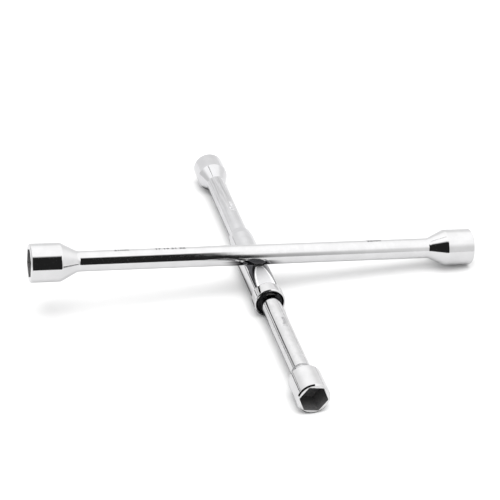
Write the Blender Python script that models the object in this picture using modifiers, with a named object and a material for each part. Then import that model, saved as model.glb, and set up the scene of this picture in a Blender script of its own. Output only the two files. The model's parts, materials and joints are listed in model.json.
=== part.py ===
# Folding four-way lug wrench.
#
# Two forged bars cross at right angles. The upper bar turns on a shoulder
# screw that comes up through the hub of the lower bar. The lower bar is a
# hub tube with a socket arm pinned into each end. A spring-loaded collar on
# the near arm draws back a lock bolt that runs inside the hub.
#
# Metres, +Z up. The wrench lies as it rests on a floor: on both sockets of
# the lower bar and on the right-hand socket of the upper bar, with the
# left-hand socket in the air. The floor is z = 0.
#
# The parts are laid out in a design frame: pivot axis on Z, lower bar along
# Y, upper bar along X. One empty, rest_frame, tilts all of it about Y until
# the three sockets touch the floor.

import bpy
import bmesh
import math
from mathutils import Matrix, Vector

MM = 0.001

# ---- driving dimensions (mm) ---------------------------------------------
AXIS_RISE = 19.0          # upper bar axis above lower bar axis
UPPER_R = 7.75            # upper bar shank radius
UPPER_LEFT = 181.0        # pivot to the left-hand socket face
UPPER_RIGHT = 174.0       # pivot to the right-hand socket face
LEFT_SOCKET_R = 14.5
LEFT_SOCKET_LEN = 23.6
LEFT_CONE_LEN = 13.5
RIGHT_SOCKET_R = 14.3
RIGHT_SOCKET_LEN = 22.2
RIGHT_CONE_LEN = 13.4
HEX_LEFT_AF = 21.0
HEX_RIGHT_AF = 22.0

LOWER_SOCKET_R = 12.5
NEAR_REACH = 171.7        # pivot to the near socket face
FAR_REACH = 183.3         # pivot to the far socket face
NEAR_SHANK_R = 7.4
FAR_SHANK_R = 7.25
NEAR_SOCKET_LEN = 25.5
NEAR_CONE_LEN = 5.0
FAR_SOCKET_LEN = 19.6
FAR_CONE_LEN = 12.3
HEX_NEAR_AF = 19.0
HEX_FAR_AF = 17.0
HEX_TURN = 54.2           # rotation of the lower bar's hexagons, degrees
HEX_DEPTH = 18.0
RIM_CHAMFER = 0.8

HUB_R = 10.9
HUB_FAR = 28.0
HUB_NEAR = -30.0
HUB_BORE_R = 7.7
BARREL_R = 9.8
BARREL_END = 53.5         # end of the straight barrel
BARREL_SHOULDER = 60.5    # end of its slow taper
ARM_PIN_R = 1.3
ARM_PIN_DROP = -5.5       # arm pins run below the axis, clear of the bolt

SCREW_SHOULDER_R = 4.0
SCREW_THREAD_R = 3.0
SCREW_HEAD_R = 6.1
HUB_SPOT_Z = 10.3         # spot face under the wave washer
BAR_SPOT_Z = 12.0         # spot face under the upper bar

BOLT_R = 3.0
BOLT_NOSE = -4.4
BOLT_TAIL = -34.2
CROSS_PIN_R = 1.25
CROSS_PIN_Y = -32.3
COLLAR_R = 12.15
COLLAR_REAR = -30.3
COLLAR_FRONT = -41.8
COLLAR_FLANGE = 4.0
COLLAR_MOUTH_R = 10.75
COLLAR_TRAVEL = 2.5
SPRING_REAR = -34.6
SPRING_FRONT = -40.1
SPRING_MEAN_R = 9.0
SPRING_WIRE_R = 0.45
SPRING_TURNS = 2.75
RING_REAR = -40.4
RING_FRONT = -41.4
GAP = 0.3                 # clearance kept between neighbouring solids

STEPS = 48

# ---- clean scene ----------------------------------------------------------
for ob in list(bpy.data.objects):
    bpy.data.objects.remove(ob, do_unlink=True)

scene = bpy.context.scene
parts = bpy.data.collections.new("folding_lug_wrench")
cutters = bpy.data.collections.new("cutters")
scene.collection.children.link(parts)
scene.collection.children.link(cutters)


def material(name, colour, rough, metal):
    m = bpy.data.materials.new(name)
    m.use_nodes = True
    b = m.node_tree.nodes["Principled BSDF"]
    b.inputs["Base Color"].default_value = (*colour, 1.0)
    b.inputs["Roughness"].default_value = rough
    b.inputs["Metallic"].default_value = metal
    return m


def empty(name, parent=None, location=(0, 0, 0)):
    e = bpy.data.objects.new(name, None)
    scene.collection.objects.link(e)
    e.location = Vector(location) * MM
    if parent is not None:
        e.parent = parent
    return e


# ---- resting tilt ---------------------------------------------------------
def resting_tilt():
    """Tilt about Y that brings the right-hand socket rim to the floor."""
    def gap(b):
        x = UPPER_RIGHT - RIM_CHAMFER
        z = AXIS_RISE - RIGHT_SOCKET_R
        return -x * math.sin(b) + z * math.cos(b) + LOWER_SOCKET_R
    lo, hi = 0.0, math.radians(20)
    for _ in range(60):
        mid = 0.5 * (lo + hi)
        if gap(mid) > 0:
            lo = mid
        else:
            hi = mid
    return lo


TILT = resting_tilt()

rest = empty("rest_frame")
rest.rotation_euler = (0.0, TILT, 0.0)
fold_axis = empty("fold_axis", rest)
collar_axis = empty("collar_axis", rest, (0, COLLAR_REAR, 0))

ALONG = {
    "X": (0.0, math.radians(90), 0.0),
    "Y": (math.radians(-90), 0.0, 0.0),
    "Z": (0.0, 0.0, 0.0),
}


def place(ob, parent, along, origin=(0, 0, 0)):
    ob.parent = parent
    off = Vector(origin) * MM
    if parent is not None and parent is not rest:
        off = off - parent.location
    ob.location = off
    ob.rotation_euler = ALONG[along]


def turned(name, profile, along, mat, parent, origin=(0, 0, 0), closed=False,
           steps=STEPS, cutter=False):
    """A turned piece: (radius, height) points in mm, outer side downwards."""
    me = bpy.data.meshes.new(name)
    verts = [(r * MM, 0.0, z * MM) for r, z in profile]
    edges = [(i, i + 1) for i in range(len(verts) - 1)]
    if closed:
        edges.append((len(verts) - 1, 0))
    me.from_pydata(verts, edges, [])
    ob = bpy.data.objects.new(name, me)
    (cutters if cutter else parts).objects.link(ob)
    sc = ob.modifiers.new("turn", "SCREW")
    sc.angle = math.tau
    sc.steps = steps
    sc.render_steps = steps
    sc.use_merge_vertices = True
    sc.merge_threshold = 0.00001
    sc.use_smooth_shade = True
    if mat is not None:
        me.materials.append(mat)
    if cutter:
        ob.hide_render = True
        ob.display_type = "WIRE"
    place(ob, parent, along, origin)
    return ob


def prism(name, sides, r0, r1, z0, z1, along, parent, origin=(0, 0, 0), turn=0.0,
          mat=None, cutter=True):
    """Straight or tapered prism between heights z0 and z1 on an axis.

    Its first corner points along the local x axis, turned by `turn` degrees.
    """
    me = bpy.data.meshes.new(name)
    bm = bmesh.new()
    bmesh.ops.create_cone(bm, cap_ends=True, cap_tris=False, segments=sides,
                          radius1=r0 * MM, radius2=r1 * MM,
                          depth=(z1 - z0) * MM)
    bmesh.ops.translate(bm, verts=bm.verts, vec=(0, 0, 0.5 * (z0 + z1) * MM))
    bmesh.ops.rotate(bm, verts=bm.verts, cent=(0, 0, 0),
                     matrix=Matrix.Rotation(math.radians(turn - 90), 3, "Z"))
    bm.to_mesh(me)
    bm.free()
    ob = bpy.data.objects.new(name, me)
    (cutters if cutter else parts).objects.link(ob)
    if mat is not None:
        me.materials.append(mat)
        me.shade_smooth()
        me.set_sharp_from_angle(angle=math.radians(35))
    if cutter:
        ob.hide_render = True
        ob.display_type = "WIRE"
    place(ob, parent, along, origin)
    return ob


def box_cutter(name, lo, hi, parent):
    me = bpy.data.meshes.new(name)
    bm = bmesh.new()
    bmesh.ops.create_cube(bm, size=1.0)
    lo, hi = Vector(lo) * MM, Vector(hi) * MM
    size = hi - lo
    bmesh.ops.scale(bm, verts=bm.verts, vec=size)
    bmesh.ops.translate(bm, verts=bm.verts, vec=(lo + hi) / 2)
    bm.to_mesh(me)
    bm.free()
    ob = bpy.data.objects.new(name, me)
    cutters.objects.link(ob)
    ob.hide_render = True
    ob.display_type = "WIRE"
    place(ob, parent, "Z")
    return ob


def cut(ob, *tools):
    for t in tools:
        m = ob.modifiers.new("cut_" + t.name, "BOOLEAN")
        m.operation = "DIFFERENCE"
        m.solver = "EXACT"
        m.object = t


def hex_radius(af):
    return af / math.sqrt(3.0)


# ---- materials ------------------------------------------------------------
chrome_upper = material("upper_bar_chrome", (0.86, 0.87, 0.89), 0.08, 1.0)
chrome_far = material("far_arm_chrome", (0.83, 0.84, 0.87), 0.10, 1.0)
chrome_near = material("near_arm_chrome", (0.84, 0.85, 0.88), 0.09, 1.0)
chrome_hub = material("hub_chrome", (0.80, 0.81, 0.85), 0.10, 1.0)
chrome_collar = material("collar_chrome", (0.82, 0.83, 0.86), 0.12, 1.0)
black_screw = material("screw_black_oxide", (0.05, 0.05, 0.055), 0.38, 1.0)
spring_steel = material("washer_spring_steel", (0.42, 0.41, 0.40), 0.32, 1.0)
bolt_steel = material("bolt_steel", (0.48, 0.48, 0.49), 0.28, 1.0)
pin_steel = material("pin_steel", (0.55, 0.55, 0.56), 0.30, 1.0)
coil_steel = material("coil_black_steel", (0.06, 0.06, 0.065), 0.35, 1.0)
ring_steel = material("ring_black_steel", (0.11, 0.11, 0.12), 0.33, 1.0)
arm_pin_far_mat = material("far_pin_steel", (0.52, 0.52, 0.53), 0.30, 1.0)
arm_pin_near_mat = material("near_pin_steel", (0.52, 0.52, 0.53), 0.30, 1.0)

# ---- upper bar ------------------------------------------------------------
upper = turned("upper_bar", [
    (0, UPPER_RIGHT),
    (RIGHT_SOCKET_R - RIM_CHAMFER, UPPER_RIGHT),
    (RIGHT_SOCKET_R, UPPER_RIGHT - RIM_CHAMFER),
    (RIGHT_SOCKET_R, UPPER_RIGHT - RIGHT_SOCKET_LEN),
    (UPPER_R, UPPER_RIGHT - RIGHT_SOCKET_LEN - RIGHT_CONE_LEN),
    (UPPER_R, -UPPER_LEFT + LEFT_SOCKET_LEN + LEFT_CONE_LEN),
    (LEFT_SOCKET_R, -UPPER_LEFT + LEFT_SOCKET_LEN),
    (LEFT_SOCKET_R, -UPPER_LEFT + RIM_CHAMFER),
    (LEFT_SOCKET_R - RIM_CHAMFER, -UPPER_LEFT),
    (0, -UPPER_LEFT),
], "X", chrome_upper, fold_axis, (0, 0, AXIS_RISE))
rr, rl = hex_radius(HEX_RIGHT_AF), hex_radius(HEX_LEFT_AF)
cut(upper,
    prism("hex_right", 6, rr, rr, UPPER_RIGHT - HEX_DEPTH, UPPER_RIGHT + 2,
          "X", fold_axis, (0, 0, AXIS_RISE)),
    prism("lead_right", 32, rr - 0.9, rr + 0.5, UPPER_RIGHT - 0.9,
          UPPER_RIGHT + 0.5, "X", fold_axis, (0, 0, AXIS_RISE)),
    prism("hex_left", 6, rl, rl, -UPPER_LEFT - 2, -UPPER_LEFT + HEX_DEPTH,
          "X", fold_axis, (0, 0, AXIS_RISE)),
    prism("lead_left", 32, rl + 0.5, rl - 0.9, -UPPER_LEFT - 0.5,
          -UPPER_LEFT + 0.9, "X", fold_axis, (0, 0, AXIS_RISE)),
    prism("bar_spot", 32, 7.3, 7.3, 4.0, BAR_SPOT_Z, "Z", fold_axis),
    prism("bar_tap", 24, SCREW_THREAD_R + GAP, SCREW_THREAD_R + GAP,
          BAR_SPOT_Z - 1, 21.3, "Z", fold_axis))

# ---- pivot screw and wave washer ------------------------------------------
screw = turned("pivot_shoulder_screw", [
    (0, 20.8), (2.6, 20.8), (SCREW_THREAD_R, 20.4), (SCREW_THREAD_R, 11.7),
    (SCREW_SHOULDER_R, 11.7), (SCREW_SHOULDER_R, -8.8), (SCREW_HEAD_R, -8.8),
    (SCREW_HEAD_R, -10.2), (SCREW_HEAD_R - 0.4, -10.6), (0, -10.6),
], "Z", black_screw, fold_axis, steps=32)
key_r = hex_radius(5.0)
cut(screw,
    prism("key_recess", 6, key_r, key_r, -12.0, -9.4, "Z", fold_axis),
    box_cutter("lock_notch", (-3.3, -5.0, -3.3), (3.3, -3.1, 3.3), fold_axis))


def wave_washer(name, r_in, r_out, z_mid, thick, amp, waves, mat):
    """Annulus that rises and falls around its turn, given thickness."""
    me = bpy.data.meshes.new(name)
    bm = bmesh.new()
    n = 48
    inner = bmesh.ops.create_circle(bm, cap_ends=False, segments=n,
                                    radius=r_in * MM)["verts"]
    outer = bmesh.ops.create_circle(bm, cap_ends=False, segments=n,
                                    radius=r_out * MM)["verts"]
    bmesh.ops.bridge_loops(bm, edges=bm.edges[:])
    bmesh.ops.recalc_face_normals(bm, faces=bm.faces[:])
    for v in bm.verts:
        v.co.z = amp * MM * math.sin(waves * math.atan2(v.co.y, v.co.x))
    if bm.faces[:][0].normal.z < 0:
        bmesh.ops.reverse_faces(bm, faces=bm.faces[:])
    bm.to_mesh(me)
    bm.free()
    ob = bpy.data.objects.new(name, me)
    parts.objects.link(ob)
    s = ob.modifiers.new("thickness", "SOLIDIFY")
    s.thickness = thick * MM
    s.offset = 0.0
    me.materials.append(mat)
    place(ob, rest, "Z", (0, 0, z_mid))
    return ob


wave_washer("pivot_wave_washer", SCREW_SHOULDER_R + 0.4, 6.9,
            0.5 * (HUB_SPOT_Z + BAR_SPOT_Z), 0.55, 0.24, 3, spring_steel)

# ---- hub ------------------------------------------------------------------
hub = turned("pivot_hub", [
    (0, 10), (HUB_BORE_R, 10), (HUB_BORE_R, HUB_FAR), (HUB_R - 0.5, HUB_FAR),
    (HUB_R, HUB_FAR - 0.5), (HUB_R, HUB_NEAR + 0.5), (HUB_R - 0.5, HUB_NEAR),
    (HUB_BORE_R, HUB_NEAR), (HUB_BORE_R, -14), (BOLT_R + GAP, -14),
    (BOLT_R + GAP, -2), (0, -2),
], "Y", chrome_hub, rest)
cut(hub,
    prism("pivot_hole", 32, SCREW_SHOULDER_R + GAP, SCREW_SHOULDER_R + GAP,
          -14, 14, "Z", rest, turn=5),
    prism("hub_spot", 32, 7.3, 7.3, HUB_SPOT_Z, 14, "Z", rest),
    prism("head_seat", 32, SCREW_HEAD_R + 0.4, SCREW_HEAD_R + 0.4, -14, -8.5,
          "Z", rest),
    prism("hub_pin_far", 16, ARM_PIN_R + GAP, ARM_PIN_R + GAP, -14, 14, "X",
          rest, (0, 19, ARM_PIN_DROP)),
    prism("hub_pin_near", 16, ARM_PIN_R + GAP, ARM_PIN_R + GAP, -14, 14, "X",
          rest, (0, -22, ARM_PIN_DROP)))

# ---- far arm --------------------------------------------------------------
far = turned("far_arm", [
    (0, FAR_REACH),
    (LOWER_SOCKET_R - RIM_CHAMFER, FAR_REACH),
    (LOWER_SOCKET_R, FAR_REACH - RIM_CHAMFER),
    (LOWER_SOCKET_R, FAR_REACH - FAR_SOCKET_LEN),
    (FAR_SHANK_R, FAR_REACH - FAR_SOCKET_LEN - FAR_CONE_LEN),
    (FAR_SHANK_R, BARREL_SHOULDER + 2.2),
    (BARREL_R - 0.7, BARREL_SHOULDER),
    (BARREL_R, BARREL_END),
    (BARREL_R, HUB_FAR + GAP),
    (HUB_BORE_R - GAP, HUB_FAR + GAP),
    (HUB_BORE_R - GAP, 10.8),
    (HUB_BORE_R - GAP - 0.5, 10.3),
    (0, 10.3),
], "Y", chrome_far, rest)
rf = hex_radius(HEX_FAR_AF)
cut(far,
    prism("hex_far", 6, rf, rf, FAR_REACH - HEX_DEPTH, FAR_REACH + 2, "Y",
          rest, turn=-HEX_TURN),
    prism("lead_far", 32, rf - 0.9, rf + 0.5, FAR_REACH - 0.9, FAR_REACH + 0.5,
          "Y", rest),
    prism("far_pin_hole", 16, ARM_PIN_R + GAP, ARM_PIN_R + GAP, -14, 14, "X",
          rest, (0, 19, ARM_PIN_DROP)))

# ---- near arm -------------------------------------------------------------
near = turned("near_arm", [
    (0, BOLT_TAIL - COLLAR_TRAVEL - 0.6),
    (BOLT_R + GAP, BOLT_TAIL - COLLAR_TRAVEL - 0.6),
    (BOLT_R + GAP, -14.3),
    (NEAR_SHANK_R - 0.5, -14.3),
    (NEAR_SHANK_R, -14.8),
    (NEAR_SHANK_R, RING_REAR + GAP),
    (NEAR_SHANK_R - 0.5, RING_REAR + GAP),
    (NEAR_SHANK_R - 0.5, RING_FRONT - GAP),
    (NEAR_SHANK_R, RING_FRONT - GAP),
    (NEAR_SHANK_R, -NEAR_REACH + NEAR_SOCKET_LEN + NEAR_CONE_LEN),
    (LOWER_SOCKET_R, -NEAR_REACH + NEAR_SOCKET_LEN),
    (LOWER_SOCKET_R, -NEAR_REACH + RIM_CHAMFER),
    (LOWER_SOCKET_R - RIM_CHAMFER, -NEAR_REACH),
    (0, -NEAR_REACH),
], "Y", chrome_near, rest)
rn = hex_radius(HEX_NEAR_AF)
slot_lo = CROSS_PIN_Y - COLLAR_TRAVEL - CROSS_PIN_R - GAP
slot_hi = CROSS_PIN_Y + CROSS_PIN_R + GAP
cut(near,
    prism("hex_near", 6, rn, rn, -NEAR_REACH - 2, -NEAR_REACH + HEX_DEPTH, "Y",
          rest, turn=-HEX_TURN),
    prism("lead_near", 32, rn + 0.5, rn - 0.9, -NEAR_REACH - 0.5,
          -NEAR_REACH + 0.9, "Y", rest),
    prism("near_pin_hole", 16, ARM_PIN_R + GAP, ARM_PIN_R + GAP, -14, 14, "X",
          rest, (0, -22, ARM_PIN_DROP)),
    box_cutter("pin_slot", (-CROSS_PIN_R - GAP, slot_lo, -10),
               (CROSS_PIN_R + GAP, slot_hi, 10), rest))

# ---- pins that hold the arms in the hub -----------------------------------
half = math.sqrt(HUB_R ** 2 - ARM_PIN_DROP ** 2) - 0.4
prism("far_arm_pin", 16, ARM_PIN_R, ARM_PIN_R, -half, half, "X", rest,
      (0, 19, ARM_PIN_DROP), mat=arm_pin_far_mat, cutter=False)
prism("near_arm_pin", 16, ARM_PIN_R, ARM_PIN_R, -half, half, "X", rest,
      (0, -22, ARM_PIN_DROP), mat=arm_pin_near_mat, cutter=False)

# ---- lock bolt, cross pin, collar -----------------------------------------
bolt = turned("lock_bolt", [
    (0, BOLT_NOSE), (2.3, BOLT_NOSE), (BOLT_R, BOLT_NOSE - 1.2),
    (BOLT_R, BOLT_TAIL + 0.4), (BOLT_R - 0.4, BOLT_TAIL), (0, BOLT_TAIL),
], "Y", bolt_steel, collar_axis, (0, 0, 0), steps=24)
cut(bolt, prism("bolt_cross", 16, CROSS_PIN_R + GAP, CROSS_PIN_R + GAP, -8, 8,
                "Z", collar_axis, (0, CROSS_PIN_Y, 0)))

prism("collar_cross_pin", 16, CROSS_PIN_R, CROSS_PIN_R, -11.5, 9.5, "Z",
      collar_axis, (0, CROSS_PIN_Y, 0), mat=pin_steel, cutter=False)

collar = turned("lock_collar", [
    (HUB_BORE_R, COLLAR_REAR), (COLLAR_R - 0.5, COLLAR_REAR),
    (COLLAR_R, COLLAR_REAR - 0.5), (COLLAR_R, COLLAR_FRONT + 0.4),
    (COLLAR_R - 0.4, COLLAR_FRONT), (COLLAR_MOUTH_R + 0.2, COLLAR_FRONT),
    (COLLAR_MOUTH_R, COLLAR_FRONT + 0.2),
    (COLLAR_MOUTH_R, COLLAR_REAR - COLLAR_FLANGE),
    (HUB_BORE_R, COLLAR_REAR - COLLAR_FLANGE),
], "Y", chrome_collar, collar_axis, closed=True)
cut(collar, prism("collar_cross", 16, CROSS_PIN_R + GAP, CROSS_PIN_R + GAP,
                  -14, 9.8, "Z", collar_axis, (0, CROSS_PIN_Y, 0)))


# ---- return spring and its ring -------------------------------------------
def coil(name, mat):
    cu = bpy.data.curves.new(name, "CURVE")
    cu.dimensions = "3D"
    cu.bevel_depth = SPRING_WIRE_R * MM
    cu.bevel_resolution = 2
    cu.use_fill_caps = True
    per_turn = 16
    n = int(SPRING_TURNS * per_turn)
    top = SPRING_REAR - SPRING_WIRE_R
    bottom = SPRING_FRONT + SPRING_WIRE_R
    sp = cu.splines.new("POLY")
    sp.points.add(n)
    for i in range(n + 1):
        a = math.tau * i / per_turn
        t = top + (bottom - top) * i / n
        sp.points[i].co = (SPRING_MEAN_R * MM * math.cos(a),
                           t * MM,
                           SPRING_MEAN_R * MM * math.sin(a), 1.0)
    ob = bpy.data.objects.new(name, cu)
    parts.objects.link(ob)
    cu.materials.append(mat)
    place(ob, rest, "Z")
    return ob


coil("collar_spring", coil_steel)


def snap_ring(name, r_in, r_out, y0, y1, gap_deg, mat):
    """Open ring: a flat arc outline given its thickness."""
    cu = bpy.data.curves.new(name, "CURVE")
    cu.dimensions = "2D"
    cu.fill_mode = "BOTH"
    cu.extrude = 0.5 * abs(y1 - y0) * MM
    n = 32
    a0, a1 = math.radians(-90 + gap_deg / 2), math.radians(270 - gap_deg / 2)
    pts = []
    for i in range(n + 1):
        a = a0 + (a1 - a0) * i / n
        pts.append((r_out * math.cos(a), r_out * math.sin(a)))
    for i in range(n + 1):
        a = a1 + (a0 - a1) * i / n
        pts.append((r_in * math.cos(a), r_in * math.sin(a)))
    sp = cu.splines.new("POLY")
    sp.points.add(len(pts) - 1)
    for p, (x, y) in zip(sp.points, pts):
        p.co = (x * MM, y * MM, 0.0, 1.0)
    sp.use_cyclic_u = True
    ob = bpy.data.objects.new(name, cu)
    parts.objects.link(ob)
    cu.materials.append(mat)
    place(ob, rest, "Y", (0, 0.5 * (y0 + y1), 0))
    return ob


snap_ring("collar_snap_ring", NEAR_SHANK_R - 0.2, 9.6, RING_REAR, RING_FRONT,
          60, ring_steel)

# ---- stand the assembly on the floor, centred on its own footprint --------
bpy.context.view_layer.update()
dg = bpy.context.evaluated_depsgraph_get()
lo = Vector((1e9, 1e9, 1e9))
hi = Vector((-1e9, -1e9, -1e9))
for ob in parts.objects:
    ev = ob.evaluated_get(dg)
    me = ev.to_mesh()
    for v in me.vertices:
        w = ev.matrix_world @ v.co
        for k in range(3):
            lo[k] = min(lo[k], w[k])
            hi[k] = max(hi[k], w[k])
    ev.to_mesh_clear()
rest.location = (-0.5 * (lo.x + hi.x), -0.5 * (lo.y + hi.y), -lo.z)
bpy.context.view_layer.update()
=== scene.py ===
# Looks for the folding four-way lug wrench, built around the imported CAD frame.
# Every visible chrome part is turned and broached again here at full quality, in the
# same place as its CAD solid; the small steel parts keep their CAD mesh and get a
# detailed material. Metres, +Z up, the CAD frame.
import bpy
import bmesh
import json
import math
import numpy as np
from mathutils import Matrix, Vector


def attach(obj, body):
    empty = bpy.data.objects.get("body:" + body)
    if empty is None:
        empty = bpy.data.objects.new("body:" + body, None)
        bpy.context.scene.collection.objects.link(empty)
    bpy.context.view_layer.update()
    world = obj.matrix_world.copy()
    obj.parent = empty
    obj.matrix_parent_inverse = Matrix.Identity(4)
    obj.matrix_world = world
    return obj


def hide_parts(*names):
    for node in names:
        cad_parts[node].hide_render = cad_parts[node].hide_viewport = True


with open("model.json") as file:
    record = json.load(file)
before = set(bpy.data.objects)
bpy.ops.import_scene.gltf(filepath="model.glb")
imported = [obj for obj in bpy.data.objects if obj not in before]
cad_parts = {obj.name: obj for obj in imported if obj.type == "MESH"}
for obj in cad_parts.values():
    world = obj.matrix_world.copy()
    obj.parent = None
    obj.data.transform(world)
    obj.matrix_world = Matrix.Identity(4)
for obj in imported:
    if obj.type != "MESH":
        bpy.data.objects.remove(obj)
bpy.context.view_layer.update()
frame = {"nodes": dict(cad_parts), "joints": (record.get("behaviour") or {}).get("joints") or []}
joints = {j["name"]: j for j in frame["joints"]}
scene = bpy.context.scene

MM = 0.001

# ---------------------------------------------------------------------------
# Design frame: pivot axis Z, lower bar along Y, upper bar along X, in mm.
# The hinge in the record gives where it stands in the row frame.
# ---------------------------------------------------------------------------
hinge = joints["fold_hinge"]
ez = Vector(hinge["axis"]).normalized()
ey = Vector((0.0, 1.0, 0.0))
ex = ey.cross(ez).normalized()
PIVOT = Vector(hinge["pos_m"])
DESIGN = Matrix(((ex.x, ey.x, ez.x, PIVOT.x),
                 (ex.y, ey.y, ez.y, PIVOT.y),
                 (ex.z, ey.z, ez.z, PIVOT.z),
                 (0.0, 0.0, 0.0, 1.0)))

# The CAD parts' driving sizes (mm), but for five radii opened up to the outline seen:
# UPPER_R (CAD 7.75), LS_R (14.5), RS_R (14.3), NEAR_R (7.4) and FAR_R (7.25)
RISE = 19.0
UPPER_R, UPPER_L_END, UPPER_R_END = 8.0, -181.0, 174.0
LS_R, LS_LEN, L_CONE = 15.1, 23.6, 13.5
RS_R, RS_LEN, R_CONE = 14.4, 22.2, 13.4
SOCK_R = 12.5
NEAR_END, FAR_END = -171.7, 183.3
NEAR_R, FAR_R = 7.65, 7.5
NEAR_SOCK, NEAR_CONE = 25.5, 5.0
FAR_SOCK, FAR_CONE = 19.6, 12.3
HEX_DEPTH = 18.0
HEX_TURN = 54.2
AF = {"left": 21.0, "right": 22.0, "near": 19.0, "far": 17.0}
SEG = 192


# ---------------------------------------------------------------------------
# Turned profiles with real fillets
# ---------------------------------------------------------------------------
def fillet(points, step=9.0):
    """points: (t, r, radius) with radius 0 for a sharp corner. Returns (t, r) points."""
    out = []
    n = len(points)
    for i, (t, r, rad) in enumerate(points):
        if rad <= 0 or i in (0, n - 1):
            out.append((t, r))
            continue
        p = Vector((t, r)); a = Vector(points[i - 1][:2]); b = Vector(points[i + 1][:2])
        u = (a - p).normalized(); v = (b - p).normalized()
        ang = u.angle(v)
        if ang > math.radians(179.5):
            out.append((t, r))
            continue
        d = rad / math.tan(ang / 2)
        d = min(d, 0.48 * (a - p).length, 0.48 * (b - p).length)
        rad = d * math.tan(ang / 2)
        c = p + (u + v).normalized() * (rad / math.sin(ang / 2))
        s = p + u * d - c
        e = p + v * d - c
        sweep = s.angle(e)
        k = max(2, int(math.degrees(sweep) / step) + 1)
        sign = 1.0 if s.x * e.y - s.y * e.x > 0 else -1.0
        for j in range(k + 1):
            w = sign * sweep * j / k
            q = Vector((s.x * math.cos(w) - s.y * math.sin(w),
                        s.x * math.sin(w) + s.y * math.cos(w)))
            out.append(tuple(c + q))
    return out


def axis_point(axis, t, r, ang, rise=0.0):
    """Point on a turned surface, mm in the design frame. ang is from +X (or -Z) round."""
    if axis == "X":
        return Vector((t, r * math.cos(ang), rise + r * math.sin(ang))) * MM
    return Vector((r * math.cos(ang), t, rise + r * math.sin(ang))) * MM


def turn_mesh(bm, axis, profile, rise=0.0, seg=SEG, closed=False, mat=0):
    """Rings of vertices along a profile, joined with quads. Ends at r = 0 are closed."""
    rings = []
    for t, r in profile:
        if r < 1e-6:
            rings.append([bm.verts.new(axis_point(axis, t, 0, 0, rise))])
        else:
            rings.append([bm.verts.new(axis_point(axis, t, r, math.tau * k / seg, rise))
                          for k in range(seg)])
    pairs = list(zip(rings, rings[1:]))
    if closed:
        pairs.append((rings[-1], rings[0]))
    faces = []
    for a, b in pairs:
        for k in range(seg):
            k2 = (k + 1) % seg
            if len(a) == 1 and len(b) == 1:
                continue
            if len(a) == 1:
                f = bm.faces.new((a[0], b[k2], b[k]))
            elif len(b) == 1:
                f = bm.faces.new((a[k], a[k2], b[0]))
            else:
                f = bm.faces.new((a[k], a[k2], b[k2], b[k]))
            f.material_index = mat
            faces.append(f)
    return rings, faces


def hexagon_radius(ang, af, turn):
    """Distance from the axis to a hexagon's wall, its corner at angle turn."""
    a = (ang - turn) % (math.pi / 3) - math.pi / 6
    return af / 2 / math.cos(a)


def socket_ring(bm, axis, t, rise, af, turn, corner=0.55, seg=SEG, lead=None):
    """A ring of the hexagon's section, with slightly rounded corners; with lead, no
    point is nearer the axis than that lead-in radius."""
    ring = []
    for k in range(seg):
        ang = math.tau * k / seg
        r = hexagon_radius(ang, af, turn)
        a = abs((ang - turn + math.pi / 6) % (math.pi / 3) - math.pi / 6)
        # round the corner: the corner circle of radius `corner` touches both walls
        rc = af / 2 / math.cos(math.pi / 6) - 2 * corner / math.sqrt(3) * 1.0
        # distance along this ray to the corner circle centred on the corner ray
        s = rc * math.sin(a)
        if s < corner:
            rr = rc * math.cos(a) + math.sqrt(corner * corner - s * s)
            if a < math.atan2(corner * 0.5, rc + corner * 0.866):
                r = min(r, rr)
        if lead is not None:
            r = max(r, lead)
        ring.append(bm.verts.new(axis_point(axis, t, r, ang, rise)))
    return ring


def bridge(bm, a, b, mat=0, flip=False):
    n = len(a)
    for k in range(n):
        k2 = (k + 1) % n
        vs = (a[k], a[k2], b[k2], b[k])
        f = bm.faces.new(vs[::-1] if flip else vs)
        f.material_index = mat


def broach(bm, axis, t_face, inward, rise, af, turn, seg=SEG):
    """The inside of a socket, from the rim's hexagon inwards: a small deburred edge,
    hexagon walls and the drilled bottom. Returns the rim's ring."""
    apo = af / 2
    s = inward
    rings = [socket_ring(bm, axis, t_face, rise, af + 0.06, turn, seg=seg)]
    mats = []
    for dt, grow in ((0.25, 0.0), (0.9, 0.0), (2.6, 0.0), (6.0, 0.0), (10.0, 0.0),
                     (14.0, 0.0), (HEX_DEPTH - 0.4, 0.0)):
        rings.append(socket_ring(bm, axis, t_face + s * dt, rise, af + grow, turn, seg=seg))
        mats.append(0 if dt < 0.5 else 1)
    for dt, r in ((HEX_DEPTH, apo - 0.25), (HEX_DEPTH + 0.05, apo * 0.72),
                  (HEX_DEPTH + 1.2, apo * 0.35)):
        rings.append([bm.verts.new(axis_point(axis, t_face + s * dt, r,
                                              math.tau * k / seg, rise))
                      for k in range(seg)])
        mats.append(1)
    for a, b, m in zip(rings, rings[1:], mats):
        bridge(bm, a, b, m)
    tip = bm.verts.new(axis_point(axis, t_face + s * (HEX_DEPTH + 1.9), 0, 0, rise))
    last = rings[-1]
    for k in range(seg):
        f = bm.faces.new((last[k], last[(k + 1) % seg], tip))
        f.material_index = 1
    return rings[0]


def finish_mesh(name, bm, mats, body, nodes, sharp=32.0):
    bmesh.ops.remove_doubles(bm, verts=bm.verts, dist=1e-7)
    bmesh.ops.recalc_face_normals(bm, faces=bm.faces)
    me = bpy.data.meshes.new(name)
    bm.to_mesh(me)
    bm.free()
    for m in mats:
        me.materials.append(m)
    me.shade_smooth()
    me.set_sharp_from_angle(angle=math.radians(sharp))
    ob = bpy.data.objects.new(name, me)
    scene.collection.objects.link(ob)
    ob.matrix_world = DESIGN
    w = ob.modifiers.new("normals", "WEIGHTED_NORMAL")
    w.mode = "FACE_AREA"
    w.weight = 50
    w.keep_sharp = True
    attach(ob, body)
    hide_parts(*nodes)
    return ob


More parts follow.
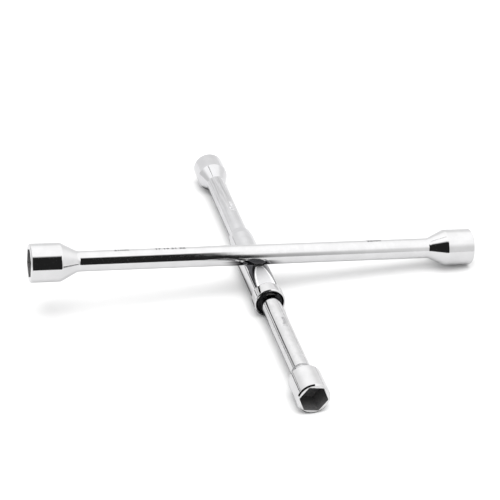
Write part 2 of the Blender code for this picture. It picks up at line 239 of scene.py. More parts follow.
# ---------------------------------------------------------------------------
# Node helpers
# ---------------------------------------------------------------------------
class Net:
    def __init__(self, tree):
        self.t = tree
        self.x = 0

    def node(self, kind, **props):
        n = self.t.nodes.new(kind)
        self.x += 40
        n.location = (self.x, -self.x % 700)
        for k, v in props.items():
            setattr(n, k, v)
        return n

    def link(self, a, b):
        self.t.links.new(a, b)

    def put(self, socket, value):
        if hasattr(value, "is_output") or hasattr(value, "links"):
            self.link(value, socket)
        else:
            socket.default_value = value

    def math(self, op, a, b=None, c=None, clamp=False):
        n = self.node("ShaderNodeMath", operation=op, use_clamp=clamp)
        self.put(n.inputs[0], a)
        if b is not None:
            self.put(n.inputs[1], b)
        if c is not None:
            self.put(n.inputs[2], c)
        return n.outputs[0]

    def ramp(self, v, a, b, to0=0.0, to1=1.0, smooth=True):
        n = self.node("ShaderNodeMapRange",
                      interpolation_type="SMOOTHSTEP" if smooth else "LINEAR", clamp=True)
        self.put(n.inputs["Value"], v)
        self.put(n.inputs["From Min"], a)
        self.put(n.inputs["From Max"], b)
        self.put(n.inputs["To Min"], to0)
        self.put(n.inputs["To Max"], to1)
        return n.outputs[0]

    def lerp(self, f, a, b):
        n = self.node("ShaderNodeMix", data_type="FLOAT")
        self.put(n.inputs["Factor"], f)
        self.put(n.inputs["A"], a)
        self.put(n.inputs["B"], b)
        return n.outputs["Result"]

    def mixc(self, f, a, b):
        n = self.node("ShaderNodeMix", data_type="RGBA")
        self.put(n.inputs[0], f)
        self.put(n.inputs[6], a)
        self.put(n.inputs[7], b)
        return n.outputs[2]

    def noise(self, vec, scale, detail=3.0, rough=0.5, distortion=0.0):
        n = self.node("ShaderNodeTexNoise")
        self.put(n.inputs["Vector"], vec)
        n.inputs["Scale"].default_value = scale
        n.inputs["Detail"].default_value = detail
        n.inputs["Roughness"].default_value = rough
        n.inputs["Distortion"].default_value = distortion
        return n.outputs["Fac"]

    def stretch(self, vec, sx, sy, sz):
        n = self.node("ShaderNodeMapping")
        self.put(n.inputs["Vector"], vec)
        n.inputs["Scale"].default_value = (sx, sy, sz)
        return n.outputs["Vector"]


def new_material(name):
    m = bpy.data.materials.new(name)
    m.use_nodes = True
    nt = m.node_tree
    for n in list(nt.nodes):
        if n.type != "OUTPUT_MATERIAL":
            nt.nodes.remove(n)
    net = Net(nt)
    out = [n for n in nt.nodes if n.type == "OUTPUT_MATERIAL"][0]
    return m, net, out


def chrome(name, tint, rough, axis, wave=1.0, smudge=1.0, metal=1.0, painted_pivot_shade=None, painted_seam_reflection=None, mottle=None):
    """Bright chrome plate over a ground bar: slight waviness, fine grinding lines along
    the bar, cloudy roughness and a faint darkening where grease and dust collect."""
    m, net, out = new_material(name)
    co = net.node("ShaderNodeTexCoord").outputs["Object"]
    lon = (0.12, 1.0, 1.0) if axis == "X" else (1.0, 0.12, 1.0)
    stretched = net.stretch(co, *lon)
    fine = (0.02, 1.0, 1.0) if axis == "X" else (1.0, 0.02, 1.0)
    lines = net.noise(net.stretch(co, *fine), 2600.0, 3.0, 0.6)
    waves = net.noise(stretched, 260.0, 2.0, 0.45)
    dimple = net.noise(co, 420.0, 2.0, 0.5)
    clouds = net.noise(co, 95.0, 4.0, 0.6)
    patches = net.noise(net.stretch(co, *lon), 60.0, 3.0, 0.55)
    b = net.node("ShaderNodeBsdfPrincipled")
    b.inputs["Metallic"].default_value = metal
    # colour: nickel-bright with slightly darker, warmer clouds
    dark = tuple(c * 0.97 for c in tint) + (1.0,)
    light = tuple(min(1.0, c * 1.02) for c in tint) + (1.0,)
    col = net.mixc(net.ramp(clouds, 0.36, 0.66), dark, light)
    col = net.mixc(net.math("MULTIPLY", net.ramp(patches, 0.56, 0.78), 0.35 * smudge),
                   col, (tint[0] * 0.90, tint[1] * 0.89, tint[2] * 0.88, 1.0))
    if painted_pivot_shade is not None:
        # painted shade: a dark patch on the underside of the bar round the pivot, standing in for the shade
        # where the bar crosses the hub
        sep = net.node("ShaderNodeSeparateXYZ")
        net.link(co, sep.inputs[0])
        x0, half_x, half_arc, radius, rise = painted_pivot_shade
        arc = net.math("MULTIPLY", net.math("ARCTAN2", net.math("ABSOLUTE", sep.outputs[1]),
                                            net.math("SUBTRACT", rise, sep.outputs[2])), radius)
        du = net.math("DIVIDE", net.math("SUBTRACT", sep.outputs[0], x0), half_x)
        dv = net.math("DIVIDE", arc, half_arc)
        d = net.math("SQRT", net.math("ADD", net.math("POWER", du, 2.0),
                                      net.math("POWER", dv, 2.0)))
        d = net.math("ADD", d, net.math("MULTIPLY", net.math("SUBTRACT", dimple, 0.5), 0.06))
        col = net.mixc(net.ramp(d, 0.93, 1.02, 1.0, 0.0), col, (0.06, 0.06, 0.064, 1.0))
    if mottle is not None:
        # darker streaks drawn out along the bar, fading in between y0 and y1 and ending just past y2
        scale, along, y0, y1, y2, most, tone = mottle
        sep = net.node("ShaderNodeSeparateXYZ")
        net.link(co, sep.inputs[0])
        streak = net.noise(net.stretch(co, 1.0, along, 1.0), scale, 4.0, 0.6)
        reach = net.math("MULTIPLY", net.ramp(sep.outputs[1], y0, y1),
                         net.ramp(sep.outputs[1], y2, y2 + 0.003, 1.0, 0.0))
        amount = net.math("MULTIPLY", net.ramp(streak, 0.40, 0.64), reach)
        col = net.mixc(net.math("MULTIPLY", amount, most), col, (tone, tone, tone * 1.01, 1.0))
    if painted_seam_reflection is not None:
        # painted reflection: a fine dark line along the bar, standing in for the backdrop's seam seen in the
        # chrome
        sep = net.node("ShaderNodeSeparateXYZ")
        net.link(co, sep.inputs[0])
        ang = net.math("MULTIPLY", net.math("ARCTAN2", sep.outputs[2], sep.outputs[0]),
                       180 / math.pi)
        off = net.math("ABSOLUTE", net.math("SUBTRACT", ang, painted_seam_reflection[0]))
        on = net.math("MULTIPLY", net.ramp(off, painted_seam_reflection[1] * 0.6, painted_seam_reflection[1] * 1.3, 1.0, 0.0),
                      net.ramp(sep.outputs[1], painted_seam_reflection[2], painted_seam_reflection[2] + 0.004))
        col = net.mixc(net.math("MULTIPLY", on, painted_seam_reflection[3]), col, (0.05, 0.05, 0.052, 1.0))
    net.link(col, b.inputs["Base Color"])
    r = net.math("ADD", net.math("MULTIPLY", net.ramp(clouds, 0.3, 0.75), 0.035), rough)
    r = net.math("ADD", r, net.math("MULTIPLY", net.ramp(lines, 0.52, 0.75), 0.03))
    net.link(r, b.inputs["Roughness"])
    bump1 = net.node("ShaderNodeBump")
    bump1.inputs["Strength"].default_value = 1.0
    bump1.inputs["Distance"].default_value = 0.000028 * wave
    net.link(waves, bump1.inputs["Height"])
    bump2 = net.node("ShaderNodeBump")
    bump2.inputs["Strength"].default_value = 1.0
    bump2.inputs["Distance"].default_value = 0.000008 * wave
    net.link(dimple, bump2.inputs["Height"])
    net.link(bump1.outputs[0], bump2.inputs["Normal"])
    bump3 = net.node("ShaderNodeBump")
    bump3.inputs["Strength"].default_value = 1.0
    bump3.inputs["Distance"].default_value = 0.0000005
    net.link(lines, bump3.inputs["Height"])
    net.link(bump2.outputs[0], bump3.inputs["Normal"])
    net.link(bump3.outputs[0], b.inputs["Normal"])
    net.link(b.outputs[0], out.inputs["Surface"])
    return m


def dark_steel(name, base, hi, rough, scale=900.0, metallic=1.0):
    """Unplated or blackened steel: mottled oxide, fine tool marks, oil film."""
    m, net, out = new_material(name)
    co = net.node("ShaderNodeTexCoord").outputs["Object"]
    mott = net.noise(co, scale, 5.0, 0.62)
    broad = net.noise(co, scale * 0.22, 3.0, 0.5)
    b = net.node("ShaderNodeBsdfPrincipled")
    b.inputs["Metallic"].default_value = metallic
    col = net.mixc(net.ramp(mott, 0.38, 0.68), base + (1.0,), hi + (1.0,))
    col = net.mixc(net.math("MULTIPLY", net.ramp(broad, 0.5, 0.8), 0.4), col,
                   tuple(c * 0.6 for c in base) + (1.0,))
    net.link(col, b.inputs["Base Color"])
    net.link(net.ramp(broad, 0.3, 0.7, rough - 0.06, rough + 0.08), b.inputs["Roughness"])
    bump = net.node("ShaderNodeBump")
    bump.inputs["Strength"].default_value = 0.6
    bump.inputs["Distance"].default_value = 0.00001
    net.link(mott, bump.inputs["Height"])
    net.link(bump.outputs[0], b.inputs["Normal"])
    net.link(b.outputs[0], out.inputs["Surface"])
    return m


CH = (0.795, 0.793, 0.795)
# the upper bar's material paints a dark shade patch on its underside over the pivot
m_upper = chrome("upper_bar_chrome", CH, 0.05, "X", wave=0.45, smudge=0.5,
                 painted_pivot_shade=(-0.0060, 0.0155, 0.0142, 0.008, 0.019))
# the near arm's material paints a dark line along the bar where the backdrop's seam shows in the chrome
m_near = chrome("near_arm_chrome", CH, 0.04, "Y", wave=0.2, smudge=1.5,
                painted_seam_reflection=(137.8, 2.7, -0.146, 0.95),
                mottle=(330.0, 0.45, -0.138, -0.134, 0.0, 0.25, 0.60))
m_far = chrome("far_arm_chrome", (0.77, 0.77, 0.78), 0.075, "Y", wave=1.0, smudge=1.6,
               mottle=(900.0, 0.04, 0.060, 0.135, 0.149, 0.60, 0.50))
m_hub = chrome("hub_chrome", CH, 0.055, "Y", wave=0.6)
m_collar = chrome("collar_chrome", CH, 0.06, "Y", wave=0.6)
m_flat = chrome("hub_flat_satin", (0.79, 0.79, 0.80), 0.42, "Y", wave=0.3, metal=0.5)
# painted highlight: a near-white, mostly matte band along the flat's outline, standing in for the highlight on
# its polished edge
m_edge_painted_highlight = chrome("hub_flat_edge_painted_highlight", (0.97, 0.97, 0.975), 0.45, "Y", wave=0.3, metal=0.25)
m_relief = dark_steel("hub_relief_black", (0.075, 0.075, 0.082), (0.13, 0.13, 0.14), 0.17,
                      scale=700.0)
m_inside = dark_steel("socket_inside_steel", (0.13, 0.13, 0.135), (0.21, 0.205, 0.20), 0.5,
                      metallic=0.3)

m_rim = chrome("ground_rim_satin", (0.88, 0.88, 0.88), 0.40, "Y", wave=0.3, metal=0.55)
m_mark_dark = dark_steel("mark_oxide", (0.10, 0.10, 0.105), (0.18, 0.18, 0.185), 0.5)
m_mark_mid = dark_steel("mark_worn_cut", (0.40, 0.40, 0.405), (0.58, 0.58, 0.585), 0.4)
m_mark_light = dark_steel("mark_bright_cut", (0.62, 0.62, 0.63), (0.80, 0.80, 0.81), 0.5,
                          metallic=0.2)


def add_marks(bm, axis, text, size, t_mid, ang_deg, radius, rise, mat):
    """Stamped size figures: the strokes stand a hair proud of the bar, bent round it."""
    cu = bpy.data.curves.new("figures", "FONT")
    cu.body = text
    cu.size = size
    cu.align_x = "CENTER"
    cu.align_y = "CENTER"
    cu.resolution_u = 3
    cu.offset = 0.02 * size
    ob = bpy.data.objects.new("figures", cu)
    scene.collection.objects.link(ob)
    dg = bpy.context.evaluated_depsgraph_get()
    dg.update()
    me = bpy.data.meshes.new_from_object(ob.evaluated_get(dg))
    tmp = bmesh.new()
    tmp.from_mesh(me)
    bpy.data.objects.remove(ob, do_unlink=True)
    bmesh.ops.remove_doubles(tmp, verts=tmp.verts, dist=1e-5)
    for _ in range(3):
        long = [e for e in tmp.edges if e.calc_length() > 0.6]
        if long:
            bmesh.ops.subdivide_edges(tmp, edges=long, cuts=1)
            bmesh.ops.triangulate(tmp, faces=tmp.faces)
    base = {v: (v.co.x, v.co.y) for v in tmp.verts}
    a0 = math.radians(ang_deg)

    def put(u, v, r):
        return axis_point(axis, t_mid + u, r, a0 + v / radius * (1 if axis == "X" else -1) * -1.0, rise) \
            if axis == "X" else axis_point(axis, t_mid + u, r, a0 + v / radius, rise)
    top = {v: bm.verts.new(put(*base[v], radius + 0.03)) for v in tmp.verts}
    bot = {v: bm.verts.new(put(*base[v], radius - 0.05)) for v in tmp.verts}
    for f in tmp.faces:
        bm.faces.new([top[v] for v in f.verts]).material_index = mat
        bm.faces.new([bot[v] for v in reversed(f.verts)]).material_index = mat
    for e in tmp.edges:
        if len(e.link_faces) == 1:
            a, b = e.verts
            bm.faces.new((top[a], top[b], bot[b], bot[a])).material_index = mat
    tmp.free()


# ---------------------------------------------------------------------------
# Upper bar: left and right sockets on one forged bar
# ---------------------------------------------------------------------------
def build_upper():
    bm = bmesh.new()
    cl, cr = AF["left"] / math.sqrt(3) + 0.45, AF["right"] / math.sqrt(3) + 0.45
    prof = fillet([
        (UPPER_L_END, cl, 0),
        (UPPER_L_END, LS_R - 0.85, 0.25),
        (UPPER_L_END + 0.85, LS_R, 0.5),
        (UPPER_L_END + LS_LEN, LS_R, 3.2),
        (UPPER_L_END + LS_LEN + L_CONE, UPPER_R, 7.0),
        (UPPER_R_END - RS_LEN - R_CONE, UPPER_R, 7.0),
        (UPPER_R_END - RS_LEN, RS_R, 3.2),
        (UPPER_R_END - 0.85, RS_R, 0.5),
        (UPPER_R_END, RS_R - 0.85, 0.25),
        (UPPER_R_END, cr, 0),
    ], step=5.0)
    rings, _ = turn_mesh(bm, "X", prof, RISE)
    bridge(bm, rings[0], broach(bm, "X", UPPER_L_END, 1, RISE, AF["left"], math.pi / 2))
    bridge(bm, rings[-1], broach(bm, "X", UPPER_R_END, -1, RISE, AF["right"], math.pi / 2))
    for text, size, x in (("21mm", 4.6, -110.0), ("17 19 21 22", 5.0, -72.0), ("22mm", 4.6, 93.0)):
        add_marks(bm, "X", text, size, x, 81.0, UPPER_R, RISE, 2)
    return finish_mesh("upper_bar_plated", bm, [m_upper, m_inside, m_mark_dark], "cross_bar",
                       ["upper_bar"])


def build_far():
    bm = bmesh.new()
    c = AF["far"] / math.sqrt(3) + 0.4
    t = math.radians(HEX_TURN)
    prof = fillet([
        (10.3, 0, 0), (10.3, 6.9, 0), (10.8, 7.4, 0), (28.3, 7.4, 0), (28.3, 9.45, 0.1),
        (28.7, 9.8, 0.25), (53.5, 9.8, 4.0), (60.5, 9.1, 1.0), (62.9, FAR_R, 1.2),
        (FAR_END - FAR_SOCK - FAR_CONE, FAR_R, 2.2),
        (FAR_END - FAR_SOCK, SOCK_R, 1.6),
        (FAR_END - 1.0, SOCK_R, 0.5), (FAR_END, SOCK_R - 1.0, 0.3),
        (FAR_END, c, 0),
    ], step=6.0)
    rings, _ = turn_mesh(bm, "Y", prof)
    bridge(bm, rings[-1], broach(bm, "Y", FAR_END, -1, 0.0, AF["far"], t))
    add_marks(bm, "Y", "17mm", 6.2, 99.0, 80.0, FAR_R, 0.0, 2)
    return finish_mesh("far_arm_plated", bm, [m_far, m_inside, m_mark_light], "lower_bar", ["far_arm"])


def build_near():
    bm = bmesh.new()
    c = AF["near"] / math.sqrt(3) + 0.28
    t = math.radians(HEX_TURN)
    prof = fillet([
        (NEAR_END, c, 0),
        (NEAR_END, SOCK_R - 1.15, 0.35),
        (NEAR_END + 1.15, SOCK_R, 0.6),
        (NEAR_END + NEAR_SOCK, SOCK_R, 1.6),
        (NEAR_END + NEAR_SOCK + NEAR_CONE, NEAR_R, 1.8),
        (-138.9, NEAR_R, 0.3), (-138.4, NEAR_R - 0.35, 0.3),
        (-136.9, NEAR_R - 0.35, 0.3), (-136.3, NEAR_R, 0.3),
        (-41.7, NEAR_R, 0), (-41.7, 6.9, 0), (-40.1, 6.9, 0), (-40.1, 7.4, 0),
        (-14.8, 7.4, 0.3), (-14.3, 6.9, 0), (-14.3, 3.3, 0), (-37.0, 3.3, 0), (-37.0, 0, 0),
    ], step=6.0)
    rings, faces = turn_mesh(bm, "Y", prof)
    bridge(bm, rings[0], broach(bm, "Y", NEAR_END, 1, 0.0, AF["near"], t), mat=2)
    for f in faces[:SEG]:
        f.material_index = 2
    for f in faces:
        y = f.calc_center_median().y / MM
        if y > -41.65:
            f.material_index = 1          # bare steel under the collar and in the hub
        elif -138.7 < y < -136.6:
            f.material_index = 3          # the groove behind the socket stays dull
    add_marks(bm, "Y", "19mm", 5.0, -80.0, 84.5, NEAR_R, 0.0, 3)
    return finish_mesh("near_arm_plated", bm, [m_near, m_inside, m_rim, m_mark_mid], "lower_bar", ["near_arm"])


def build_collar():
    bm = bmesh.new()
    prof = fillet([
        (-30.3, 7.7, 0), (-30.3, 11.4, 0.1), (-31.1, 12.15, 0.5), (-41.1, 12.15, 0.5),
        (-41.8, 11.45, 0.3), (-41.8, 10.95, 0.15), (-41.6, 10.75, 0.15), (-34.3, 10.75, 0),
        (-34.3, 7.7, 0), (-30.3, 7.7, 0),
    ], step=9.0)[:-1]
    _, faces = turn_mesh(bm, "Y", prof, closed=True)
    for f in faces:
        c = f.calc_center_median()
        if math.hypot(c.x, c.z) < 10.86 * MM:
            f.material_index = 1
    return finish_mesh("lock_collar_plated", bm, [m_collar, m_relief], "collar", ["lock_collar"])


upper = build_upper()
far = build_far()
near = build_near()
collar = build_collar()


# ---------------------------------------------------------------------------
# Hub: turned tube, with the spot face under the bar cut by a boolean
# ---------------------------------------------------------------------------
def round_cutter(name, r, z0, z1, axis="Z", seg=96, origin=(0, 0, 0)):
    bm = bmesh.new()
    bmesh.ops.create_cone(bm, cap_ends=True, segments=seg, radius1=r * MM, radius2=r * MM,
                          depth=(z1 - z0) * MM)
    bmesh.ops.translate(bm, verts=bm.verts, vec=(0, 0, (z0 + z1) / 2 * MM))
    if axis == "X":
        bmesh.ops.rotate(bm, verts=bm.verts, matrix=Matrix.Rotation(math.radians(90), 3, "Y"))
    bmesh.ops.translate(bm, verts=bm.verts, vec=Vector(origin) * MM)
    me = bpy.data.meshes.new(name)
    bm.to_mesh(me)
    bm.free()
    ob = bpy.data.objects.new(name, me)
    scene.collection.objects.link(ob)
    ob.matrix_world = DESIGN
    return ob


def apply_all(ob):
    """The evaluated mesh becomes the object's own, with no modifiers left."""
    dg = bpy.context.evaluated_depsgraph_get()
    dg.update()
    me = bpy.data.meshes.new_from_object(ob.evaluated_get(dg))
    ob.modifiers.clear()
    ob.data = me


def cut(ob, cutters):
    keep = [m for m in ob.modifiers]
    for c in cutters:
        m = ob.modifiers.new("cut", "BOOLEAN")
        m.operation = "DIFFERENCE"
        m.solver = "EXACT"
        m.object = c
    # cuts come before the normals
    while ob.modifiers[0].type != "BOOLEAN":
        bpy.context.view_layer.objects.active = ob
        first = ob.modifiers[0]
        ob.modifiers.move(0, len(ob.modifiers) - 1)
    bpy.context.view_layer.update()
    apply_all(ob)
    for c in cutters:
        bpy.data.objects.remove(c, do_unlink=True)


TONGUE = [(-1.6, 0.0), (-2.1, 1.1), (-3.2, 2.1), (-4.8, 3.0), (-7.0, 3.9), (-9.6, 4.75),
          (-12.6, 5.5), (-15.8, 6.1), (-19.0, 6.55), (-23.0, 6.95), (-30.0, 7.2)]


def tongue_half(y):
    """Half width (mm) of the flat on top of the hub at y, and the flat's height."""
    w = float(np.interp(-y, [-t[0] for t in TONGUE], [t[1] for t in TONGUE])) if y < -1.6 else 0.0
    return w, math.sqrt(10.9 ** 2 - w * w)


def build_hub():
    """The hub tube as a fine grid round and along, so that the scooped flat on its top
    and the unplated relief around it are in the mesh itself."""
    bm = bmesh.new()
    tab = [(y / 10.0, tongue_half(y / 10.0)[0]) for y in range(-300, 21)]
    ty = np.array([t[0] for t in tab])
    tw = np.array([t[1] for t in tab])

    def outside(x, y):
        """Distance (mm) outside the flat's outline; below 0 inside it."""
        d = np.hypot(np.maximum(0.0, abs(x + 0.45) - tw), y - ty)
        k = int(np.argmin(d))
        if d[k] < 1e-6:
            return -0.01
        return float(d[k])

    nphi = 384
    ys = sorted(set([round(-30.0 + v, 4) for v in (0.0, 0.04, 0.15, 0.3, 0.5)]
                    + [round(-29.25 + 0.25 * k, 3) for k in range(0, 133)]
                    + [round(4.5 + 0.5 * k, 3) for k in range(0, 22)]
                    + [float(v) for v in range(16, 28)] + [27.5, 27.7, 27.85, 27.96]))
    rows, info = [], []
    for y in ys:
        edge = min(y + 30.0, 28.0 - y)
        row, inf = [], []
        for k in range(nphi):
            a = math.tau * k / nphi          # from +X round to +Z
            r = 10.9
            if edge < 0.5:
                r -= 0.5 - math.sqrt(max(0.0, 0.25 - (0.5 - edge) ** 2))
            tag = 0
            off = abs(math.degrees(a) - 90.0) if a < math.pi * 1.5 else 180.0
            # relief: a dark band round the top, a little below the plated surface
            lim = 56.0 if math.cos(a) < 0 else 66.0
            if y > 4.0:
                lim += 1.6 * (y - 4.0)
            in_band = min(1.0, max(0.0, (lim - off) / 3.0))
            in_band *= min(1.0, max(0.0, (y + 29.2) / 0.7)) * min(1.0, max(0.0, (14.0 - y) / 1.2))
            if in_band > 0:
                w, zs = tongue_half(y)
                x = 10.9 * math.cos(a)
                if abs(x + 0.45) < w:
                    # a flat, meeting the tube along the outline
                    r = min(r, zs / (math.sin(a) - 0.05 * math.cos(a)))
                    # cells along the flat's outline (tag 4) take the painted highlight band
                    tag = 2 if (w - abs(x + 0.45) > 0.75 and y > -28.7) else 4
                else:
                    d = outside(x, y)
                    wall = min(1.0, max(0.0, (d - 0.3) / 0.45))
                    dep = min(in_band, wall)
                    dep = dep * dep * (3 - 2 * dep)
                    r -= 0.45 * dep
                    tag = 1 if (d > 0.35 and in_band > 0.25) else (3 if d <= 0.35 else 0)
            row.append(bm.verts.new(Vector((r * math.cos(a), y, r * math.sin(a))) * MM))
            inf.append(tag)
        rows.append(row)
        info.append(inf)
    for i in range(len(rows) - 1):
        for k in range(nphi):
            k2 = (k + 1) % nphi
            f = bm.faces.new((rows[i][k], rows[i][k2], rows[i + 1][k2], rows[i + 1][k]))
            tags = (info[i][k], info[i][k2], info[i + 1][k2], info[i + 1][k])
            f.material_index = (2 if tags.count(2) >= 3 else 1 if tags.count(1) >= 3
                                else 3 if tags.count(4) >= 2 else 0)
    # ends and bores
    def inner(first, pts):
        prev = first
        for y, r in pts:
            if r < 1e-6:
                tip = bm.verts.new(Vector((0, y, 0)) * MM)
                for k in range(nphi):
                    bm.faces.new((prev[k], prev[(k + 1) % nphi], tip)).material_index = 1
                return
            cur = [bm.verts.new(Vector((r * math.cos(math.tau * k / nphi), y,
                                        r * math.sin(math.tau * k / nphi))) * MM)
                   for k in range(nphi)]
            bridge(bm, prev, cur, 0)
            prev = cur
    inner(rows[0], [(-30.0, 7.7), (-14.0, 7.7), (-14.0, 3.3), (-2.0, 3.3), (-2.0, 0.0)])
    inner(rows[-1], [(28.0, 10.4), (28.0, 7.7), (10.0, 7.7), (10.0, 0.0)])
    ob = finish_mesh("pivot_hub_plated", bm, [m_hub, m_relief, m_flat, m_edge_painted_highlight], "lower_bar",
                     ["pivot_hub"], sharp=40.0)
    cut(ob, [round_cutter("c3", 6.5, -14, -8.5),
             round_cutter("c4", 1.6, -14, 14, "X", 32, (0, 19, -5.5)),
             round_cutter("c5", 1.6, -14, 14, "X", 32, (0, -22, -5.5))])
    ob.data.set_sharp_from_angle(angle=math.radians(40))
    return ob


hub = build_hub()

def build_washer():
    """Three-wave spring washer in the gap under the bar."""
    bm = bmesh.new()
    seg = 144
    ring = []
    for k in range(seg):
        a = math.tau * k / seg
        z = 10.97 + 0.03 * math.cos(3 * a)
        ring.append([bm.verts.new(Vector((r * math.cos(a), r * math.sin(a), z + dz)) * MM)
                     for r, dz in ((4.08, -0.1), (4.55, -0.1), (4.6, -0.05), (4.6, 0.05),
                                   (4.55, 0.1), (4.08, 0.1))])
    for k in range(seg):
        a, b = ring[k], ring[(k + 1) % seg]
        for j in range(6):
            bm.faces.new((a[j], b[j], b[(j + 1) % 6], a[(j + 1) % 6]))
    return finish_mesh("pivot_wave_washer_sprung", bm, [m_washer], "lower_bar",
                       ["pivot_wave_washer"])


m_washer = dark_steel("washer_spring_steel", (0.34, 0.33, 0.32), (0.50, 0.49, 0.48), 0.30)
washer = build_washer()

# ---------------------------------------------------------------------------
# Small steel parts keep their CAD meshes
# ---------------------------------------------------------------------------
small = {
    "pivot_shoulder_screw": dark_steel("screw_black_oxide", (0.045, 0.045, 0.05), (0.10, 0.10, 0.11), 0.36),
    "lock_bolt": dark_steel("bolt_steel", (0.42, 0.42, 0.43), (0.56, 0.56, 0.57), 0.26),
    "collar_cross_pin": dark_steel("pin_steel", (0.48, 0.48, 0.49), (0.62, 0.62, 0.63), 0.28),
    "collar_spring": dark_steel("coil_black_steel", (0.03, 0.03, 0.033), (0.07, 0.07, 0.073), 0.6),
    "collar_snap_ring": dark_steel("ring_black_steel", (0.04, 0.04, 0.043), (0.08, 0.08, 0.083), 0.6),
    "far_arm_pin": dark_steel("far_pin_steel", (0.46, 0.46, 0.47), (0.60, 0.60, 0.61), 0.30),
    "near_arm_pin": dark_steel("near_pin_steel", (0.46, 0.46, 0.47), (0.60, 0.60, 0.61), 0.30),
}
for node, mat in small.items():
    ob = frame["nodes"][node]
    ob.data.materials.clear()
    ob.data.materials.append(mat)

# ---------------------------------------------------------------------------
# Stage: floor, tent and lights
# ---------------------------------------------------------------------------
def plane(name, x0, x1, y0, y1, z):
    me = bpy.data.meshes.new(name)
    me.from_pydata([(x0, y0, z), (x1, y0, z), (x1, y1, z), (x0, y1, z)], [], [(0, 1, 2, 3)])
    ob = bpy.data.objects.new(name, me)
    scene.collection.objects.link(ob)
    return ob


floor = plane("floor", -6, 6, -6, 6, 0.0)
m, net, out = new_material("paper_floor")
pos = net.node("ShaderNodeTexCoord").outputs["Object"]
sep = net.node("ShaderNodeSeparateXYZ")
net.link(pos, sep.inputs[0])
rad = net.math("SQRT", net.math("ADD", net.math("POWER", sep.outputs[0], 2.0),
                                net.math("POWER", sep.outputs[1], 2.0)))
dif = net.node("ShaderNodeBsdfDiffuse")
dif.inputs["Color"].default_value = (0.84, 0.84, 0.84, 1)
em = net.node("ShaderNodeEmission")
em.inputs["Color"].default_value = (1, 1, 1, 1)
em.inputs["Strength"].default_value = 1.0
mix = net.node("ShaderNodeMixShader")
net.link(net.ramp(rad, 0.7, 1.2), mix.inputs[0])
net.link(dif.outputs[0], mix.inputs[1])
net.link(em.outputs[0], mix.inputs[2])
net.link(mix.outputs[0], out.inputs["Surface"])
floor.data.materials.append(m)
floor.visible_glossy = False
floor.visible_shadow = False
floor.visible_diffuse = False

mirror_floor = plane("floor_in_reflections", -1.2, 1.2, -0.215, 1.2, -0.0001)
m, net, out = new_material("paper_in_reflections")
pos = net.node("ShaderNodeTexCoord").outputs["Object"]
sep = net.node("ShaderNodeSeparateXYZ")
net.link(pos, sep.inputs[0])
# the paper just under the lower bar and the hub is in deep contact shadow
ax = net.math("ABSOLUTE", net.math("SUBTRACT", sep.outputs[0], PIVOT.x))
ay = net.math("ABSOLUTE", net.math("SUBTRACT", sep.outputs[1], PIVOT.y))
wide = net.ramp(ay, 0.03, 0.06, 0.026, 0.014)
far_off = net.ramp(net.math("DIVIDE", ax, wide), 0.35, 1.0)
lit = net.math("MAXIMUM", far_off, net.ramp(ay, 0.17, 0.19))
dif = net.node("ShaderNodeBsdfDiffuse")
net.link(net.mixc(lit, (0.04, 0.04, 0.042, 1), (0.63, 0.63, 0.635, 1)), dif.inputs["Color"])
net.link(dif.outputs[0], out.inputs["Surface"])
mirror_floor.data.materials.append(m)
mirror_floor.visible_camera = False
mirror_floor.visible_diffuse = False
mirror_floor.visible_shadow = False
mirror_floor.visible_transmission = False

# The tent seen in the chrome: a cylinder 1 m in radius with a flat ceiling
TENT_R, TENT_H = 1.0, 1.6


def build_tent():
    bm = bmesh.new()
    seg = 128
    heights = [-0.5, 0.0, TENT_H]
    rings = []
    for h in heights:
        rings.append([bm.verts.new((TENT_R * math.sin(math.tau * k / seg),
                                    -TENT_R * math.cos(math.tau * k / seg), h))
                      for k in range(seg)])
    for a, b in zip(rings, rings[1:]):
        for k in range(seg):
            bm.faces.new((a[k], a[(k + 1) % seg], b[(k + 1) % seg], b[k]))
    bm.faces.new(rings[-1])
    me = bpy.data.meshes.new("tent")
    bm.to_mesh(me)
    bm.free()
    ob = bpy.data.objects.new("tent", me)
    scene.collection.objects.link(ob)
    ob.location = (PIVOT.x, PIVOT.y, 0.0)
    return ob


tent = build_tent()
m, net, out = new_material("tent_light")
pos = net.node("ShaderNodeTexCoord").outputs["Object"]
sep = net.node("ShaderNodeSeparateXYZ")
net.link(pos, sep.inputs[0])
X, Y, Z = sep.outputs
az = net.math("MULTIPLY", net.math("ARCTAN2", X, net.math("MULTIPLY", Y, -1.0)),
              180 / math.pi)
rxy = net.math("SQRT", net.math("ADD", net.math("POWER", X, 2.0), net.math("POWER", Y, 2.0)))
el = net.math("MULTIPLY", net.math("ARCTAN2", Z, rxy), 180 / math.pi)
# brightness of the lower walls around the room
stops = [(-180, .86), (-150, .88), (-140, .86), (-125, .74), (-108, .70), (-90, .72),
         (13.4, .46), (18.5, .50), (27, .78), (40, .82), (60, .90), (90, 1.02), (115, .98),
         (135, .90), (150, .87), (180, .86)]
cr = net.node("ShaderNodeValToRGB")
net.link(net.ramp(az, -180.0, 180.0, smooth=False), cr.inputs[0])
el_ = cr.color_ramp.elements
el_[0].position = 0.0
el_[0].color = (stops[0][1],) * 3 + (1,)
el_[1].position = 1.0
el_[1].color = (stops[-1][1],) * 3 + (1,)
for a, v in stops[1:-1]:
    e = el_.new((a + 180) / 360)
    e.color = (v,) * 3 + (1,)
low = net.node("ShaderNodeSeparateColor")
net.link(cr.outputs[0], low.inputs[0])
wall = net.lerp(net.ramp(Z, 0.33, 1.0), low.outputs[0], 1.20)
wall = net.lerp(net.ramp(el, 48.0, 62.0), wall, 1.24)
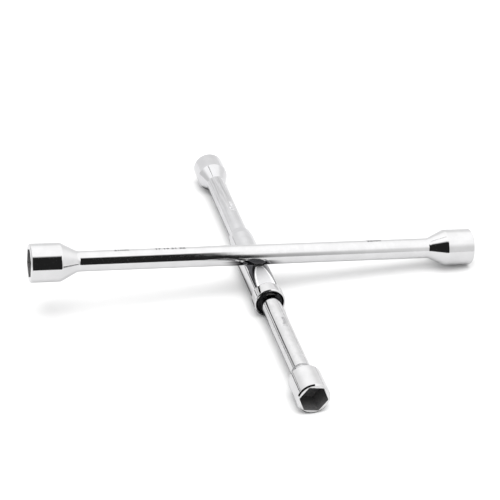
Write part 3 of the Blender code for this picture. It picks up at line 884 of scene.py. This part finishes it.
# the dark room in front, with the edge of the backdrop to its right
across = net.math("SUBTRACT", net.math("MULTIPLY", X, 0.995), net.math("MULTIPLY", Z, 0.0992))
across = net.math("DIVIDE", across, net.math("SQRT", net.math("ADD", net.math("POWER", rxy, 2.0),
                                                               net.math("POWER", Z, 2.0))))
across = net.math("ADD", across, net.ramp(el, 10.0, 42.0, 0.0, 0.040))
side = net.math("MULTIPLY", net.ramp(az, -63.0, -58.0), net.ramp(az, 80.0, 90.0, 1.0, 0.0))
side = net.math("MULTIPLY", side, net.ramp(across, 0.237, 0.266, 1.0, 0.0))
top = net.ramp(el, 58.0, 70.0, 1.0, 0.0)
dark = net.math("MULTIPLY", side, top)
val = net.lerp(dark, wall, 0.018)
# a seam at the foot of the back-left wall, and one across the ceiling
seam = net.math("MULTIPLY", net.ramp(az, -152.0, -142.0), net.ramp(az, -134.0, -128.0, 1.0, 0.0))
seam = net.math("MULTIPLY", seam, net.math("MULTIPLY", net.ramp(Z, -0.035, -0.02),
                                           net.ramp(Z, 0.056, 0.066, 1.0, 0.0)))
val = net.lerp(seam, val, 0.0)
slit = net.math("MULTIPLY", net.ramp(az, -144.0, -142.0), net.ramp(az, -139.0, -137.0, 1.0, 0.0))
slit = net.math("MULTIPLY", slit, net.math("GREATER_THAN", Z, TENT_H - 0.01))
slit = net.math("MULTIPLY", slit, net.ramp(rxy, 0.3, 0.4))
val = net.lerp(slit, val, 0.02)
em = net.node("ShaderNodeEmission")
tintc = net.node("ShaderNodeCombineColor")
net.link(net.math("MULTIPLY", val, 0.995), tintc.inputs[0])
net.link(net.math("MULTIPLY", val, 0.995), tintc.inputs[1])
net.link(val, tintc.inputs[2])
net.link(tintc.outputs[0], em.inputs["Color"])
em.inputs["Strength"].default_value = 1.0
net.link(em.outputs[0], out.inputs["Surface"])
m.cycles.emission_sampling = "NONE"
tent.data.materials.append(m)
tent.visible_camera = False
tent.visible_diffuse = False
tent.visible_shadow = False
tent.visible_transmission = False

world = bpy.data.worlds.new("white_room")
scene.world = world
world.use_nodes = True
bg = [n for n in world.node_tree.nodes if n.type == "BACKGROUND"][0]
bg.inputs["Color"].default_value = (1, 1, 1, 1)
bg.inputs["Strength"].default_value = 1.0

sun_d = bpy.data.lights.new("softbox_overhead", "SUN")
sun_d.energy = 1.9
sun_d.angle = math.radians(48)
sun = bpy.data.objects.new("softbox_overhead", sun_d)
scene.collection.objects.link(sun)
tilt = math.radians(-13)
sun.rotation_euler = (-tilt, 0, 0)     # leans towards the back
sun.visible_glossy = False

scene.view_settings.view_transform = "Standard"
scene.view_settings.look = "None"
scene.view_settings.exposure = 0.0
scene.view_settings.gamma = 1.0

# ---------------------------------------------------------------------------
# Camera
# ---------------------------------------------------------------------------
AZ, EL, ROLL = math.radians(13.285), math.radians(31.2), math.radians(-0.176)
fwd = Vector((math.sin(AZ) * math.cos(EL), math.cos(AZ) * math.cos(EL), -math.sin(EL)))
right = Vector((math.cos(AZ), -math.sin(AZ), 0.0))
upv = right.cross(fwd)
R = math.cos(ROLL) * right + math.sin(ROLL) * upv
U = -math.sin(ROLL) * right + math.cos(ROLL) * upv
eye = -1.5 * fwd - 0.0058 * R + 0.01344 * U + Vector((PIVOT.x, PIVOT.y, 0.020))
cam_d = bpy.data.cameras.new("camera")
cam_d.sensor_fit = "HORIZONTAL"
cam_d.sensor_width = 36.0
cam_d.lens = 36.0 * 1911.04 / 500.0
cam_d.clip_start = 0.01
cam_d.clip_end = 50.0
cam = bpy.data.objects.new("camera", cam_d)
scene.collection.objects.link(cam)
B = -fwd
cam.matrix_world = Matrix(((R.x, U.x, B.x, eye.x), (R.y, U.y, B.y, eye.y),
                           (R.z, U.z, B.z, eye.z), (0, 0, 0, 1)))
scene.camera = cam

bpy.context.view_layer.update()
